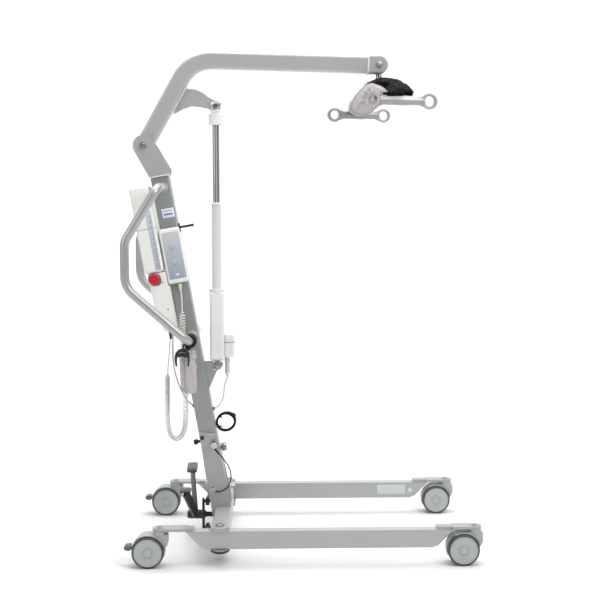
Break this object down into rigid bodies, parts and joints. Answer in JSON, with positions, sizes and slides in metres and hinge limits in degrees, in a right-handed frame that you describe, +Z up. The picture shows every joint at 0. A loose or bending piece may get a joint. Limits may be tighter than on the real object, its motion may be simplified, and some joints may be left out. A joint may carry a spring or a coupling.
{
  "type": "patient lift hoist",
  "caption": "Mobile patient lifting hoist with folding mast, actuator-driven boom, swivelling sling bar with ring arms, and pedal-spread legs on twin-wheel castors.",
  "frame": {"origin": "floor level, centre of the footprint", "axes": "+X towards the boom end and the open ends of the legs, +Y to the hoist's left, +Z up"},
  "size_m": [1.138, 0.6268, 1.6248],
  "materials": {
    "silver_paint": "satin",
    "black_metal": "satin",
    "black_plastic": "matte",
    "steel": "satin",
    "chrome": "polished",
    "cast_aluminium": "satin",
    "white_plastic": "satin",
    "grey_plastic": "satin",
    "grey_tube": "satin",
    "disc_grey": "satin",
    "tyre": "matte",
    "red_plastic": "gloss",
    "pad_grey": "matte",
    "black_fabric": "woven",
    "mauve_fabric": "woven",
    "cream_cable": "satin",
    "grey_cable": "matte"
  },
  "bodies": {
    "base": {"cross_beam": "silver_paint", "leg_pivot_bolts": "steel", "leg_pivot_washers": "black_plastic", "foot_bracket": "silver_paint", "fold_pivot_bolt": "steel", "pedal_shaft": "black_metal"},
    "leg_right_body": {"leg_right": "silver_paint", "leg_right_castor_plates": "silver_paint"},
    "leg_left_body": {"leg_left": "silver_paint", "leg_left_castor_plates": "silver_paint"},
    "castor_rear_right": {"castor_rear_right_yoke": "grey_plastic"},
    "wheels_rear_right": {"castor_rear_right_tyres": "tyre", "castor_rear_right_hubs": "disc_grey"},
    "brake_lever_rear_right": {"brake_rear_right": "grey_plastic"},
    "castor_rear_left": {"castor_rear_left_yoke": "grey_plastic"},
    "wheels_rear_left": {"castor_rear_left_tyres": "tyre", "castor_rear_left_hubs": "disc_grey"},
    "brake_lever_rear_left": {"brake_rear_left": "grey_plastic"},
    "castor_front_right": {"castor_front_right_yoke": "grey_plastic"},
    "wheels_front_right": {"castor_front_right_tyres": "tyre", "castor_front_right_hubs": "disc_grey"},
    "castor_front_left": {"castor_front_left_yoke": "grey_plastic"},
    "wheels_front_left": {"castor_front_left_tyres": "tyre", "castor_front_left_hubs": "disc_grey"},
    "pedal": {"pedal_rocker": "black_metal", "pedal_pads": "pad_grey"},
    "tie_right": {"tie_rod_right": "black_metal"},
    "tie_left": {"tie_rod_left": "black_metal"},
    "mast": {"mast_tube": "silver_paint", "mast_actuator_bracket": "silver_paint", "mast_hinge_plates": "silver_paint", "mast_pins": "steel", "pendant_peg": "black_plastic", "handle_right": "silver_paint", "handle_left": "silver_paint", "control_box": "white_plastic", "battery_pack": "white_plastic", "pendant_body": "white_plastic", "strap_ring": "black_plastic", "coil_lead": "cream_cable", "thin_leads": "grey_cable", "accessory_pouch": "mauve_fabric"},
    "lock_pin": {"mast_lock_pin": "steel"},
    "stop": {"stop_button": "red_plastic"},
    "pendant_up": {"pendant_up_button": "grey_plastic"},
    "pendant_down": {"pendant_down_button": "grey_plastic"},
    "boom": {"boom_tube": "silver_paint", "boom_actuator_fin": "silver_paint", "boom_end_head": "silver_paint", "boom_pins": "steel"},
    "actuator": {"actuator_housing": "white_plastic", "actuator_motor": "white_plastic", "actuator_outer_tube": "grey_tube"},
    "rod": {"actuator_rod": "chrome", "actuator_rod_fork": "white_plastic"},
    "hanger": {"swivel_eye": "chrome"},
    "spreader": {"sling_bar": "cast_aluminium", "sling_arms": "cast_aluminium", "sling_bar_sleeve": "black_fabric", "hook_cover": "mauve_fabric"}
  },
  "joints": [
    {"name": "leg_right_spread", "type": "hinge", "parent": "base", "child": "leg_right_body", "pos_m": [-0.255, -0.28, 0.085], "axis": [0, 0, -1], "range_deg": [0, 12]},
    {"name": "leg_left_spread", "type": "hinge", "parent": "base", "child": "leg_left_body", "pos_m": [-0.255, 0.28, 0.085], "axis": [0, 0, 1], "range_deg": [0, 12]},
    {"name": "castor_rear_right_swivel", "type": "hinge", "parent": "leg_right_body", "child": "castor_rear_right", "pos_m": [-0.443, -0.28, 0.11], "axis": [0, 0, 1], "continuous": true},
    {"name": "wheels_rear_right_spin", "type": "hinge", "parent": "castor_rear_right", "child": "wheels_rear_right", "pos_m": [-0.479, -0.28, 0.05], "axis": [0, 1, 0], "continuous": true},
    {"name": "brake_rear_right_press", "type": "hinge", "parent": "castor_rear_right", "child": "brake_lever_rear_right", "pos_m": [-0.5355, -0.28, 0.061], "axis": [0, -1, 0], "range_deg": [0, 14]},
    {"name": "castor_rear_left_swivel", "type": "hinge", "parent": "leg_left_body", "child": "castor_rear_left", "pos_m": [-0.443, 0.28, 0.11], "axis": [0, 0, 1], "continuous": true},
    {"name": "wheels_rear_left_spin", "type": "hinge", "parent": "castor_rear_left", "child": "wheels_rear_left", "pos_m": [-0.479, 0.28, 0.05], "axis": [0, 1, 0], "continuous": true},
    {"name": "brake_rear_left_press", "type": "hinge", "parent": "castor_rear_left", "child": "brake_lever_rear_left", "pos_m": [-0.5355, 0.28, 0.061], "axis": [0, -1, 0], "range_deg": [0, 14]},
    {"name": "castor_front_right_swivel", "type": "hinge", "parent": "leg_right_body", "child": "castor_front_right", "pos_m": [0.545, -0.28, 0.11], "axis": [0, 0, 1], "continuous": true},
    {"name": "wheels_front_right_spin", "type": "hinge", "parent": "castor_front_right", "child": "wheels_front_right", "pos_m": [0.509, -0.28, 0.05], "axis": [0, 1, 0], "continuous": true},
    {"name": "castor_front_left_swivel", "type": "hinge", "parent": "leg_left_body", "child": "castor_front_left", "pos_m": [0.545, 0.28, 0.11], "axis": [0, 0, 1], "continuous": true},
    {"name": "wheels_front_left_spin", "type": "hinge", "parent": "castor_front_left", "child": "wheels_front_left", "pos_m": [0.509, 0.28, 0.05], "axis": [0, 1, 0], "continuous": true},
    {"name": "pedal_rock", "type": "hinge", "parent": "base", "child": "pedal", "pos_m": [-0.345, 0, 0.08], "axis": [1, 0, 0], "range_deg": [0, 16]},
    {"name": "tie_rod_right_pivot", "type": "hinge", "parent": "leg_right_body", "child": "tie_right", "pos_m": [-0.315, -0.252, 0.099], "axis": [0, 0, -1], "range_deg": [-15, 1]},
    {"name": "tie_rod_left_pivot", "type": "hinge", "parent": "leg_left_body", "child": "tie_left", "pos_m": [-0.315, 0.252, 0.099], "axis": [0, 0, 1], "range_deg": [-15, 1]},
    {"name": "mast_fold", "type": "hinge", "parent": "base", "child": "mast", "pos_m": [-0.291, 0, 0.175], "axis": [0, 1, 0], "range_deg": [0, 50]},
    {"name": "mast_lock_pin_slide", "type": "slide", "parent": "base", "child": "lock_pin", "axis": [0, -1, 0], "range_m": [-0.008, 0.004]},
    {"name": "stop_button_press", "type": "slide", "parent": "mast", "child": "stop", "axis": [0, 1, 0], "range_m": [0, 0.0035]},
    {"name": "pendant_up_press", "type": "slide", "parent": "mast", "child": "pendant_up", "axis": [0, 1, 0], "range_m": [0, 0.0015]},
    {"name": "pendant_down_press", "type": "slide", "parent": "mast", "child": "pendant_down", "axis": [0, 1, 0], "range_m": [0, 0.0015]},
    {"name": "boom_lift", "type": "hinge", "parent": "mast", "child": "boom", "pos_m": [-0.509, 0, 1.32], "axis": [0, 1, 0], "range_deg": [0, 54.5]},
    {"name": "actuator_tilt", "type": "hinge", "parent": "mast", "child": "actuator", "pos_m": [-0.274, 0, 0.595], "axis": [0, 1, 0], "range_deg": [-0.1, 1.2]},
    {"name": "actuator_extend", "type": "slide", "parent": "actuator", "child": "rod", "axis": [0, 0, 1], "range_m": [-0.25, 0.002]},
    {"name": "hanger_level", "type": "hinge", "parent": "boom", "child": "hanger", "pos_m": [0.262, 0, 1.584], "axis": [0, 1, 0], "range_deg": [-55, 0.5]},
    {"name": "sling_bar_swivel", "type": "hinge", "parent": "hanger", "child": "spreader", "pos_m": [0.262, 0, 1.515], "axis": [0, 0, 1], "continuous": true}
  ],
  "couplings": [
    {"joint": "leg_left_spread", "follows": "leg_right_spread", "ratio": 1},
    {"joint": "pedal_rock", "follows": "leg_right_spread", "ratio": 1.258},
    {"joint": "tie_rod_right_pivot", "follows": "leg_right_spread", "ratio": -1.135},
    {"joint": "tie_rod_left_pivot", "follows": "leg_right_spread", "ratio": -1.135},
    {"joint": "actuator_tilt", "follows": "boom_lift", "ratio": 0.011204},
    {"joint": "actuator_extend", "follows": "boom_lift", "m_per_rad": -0.25796},
    {"joint": "hanger_level", "follows": "boom_lift", "ratio": -1}
  ]
}
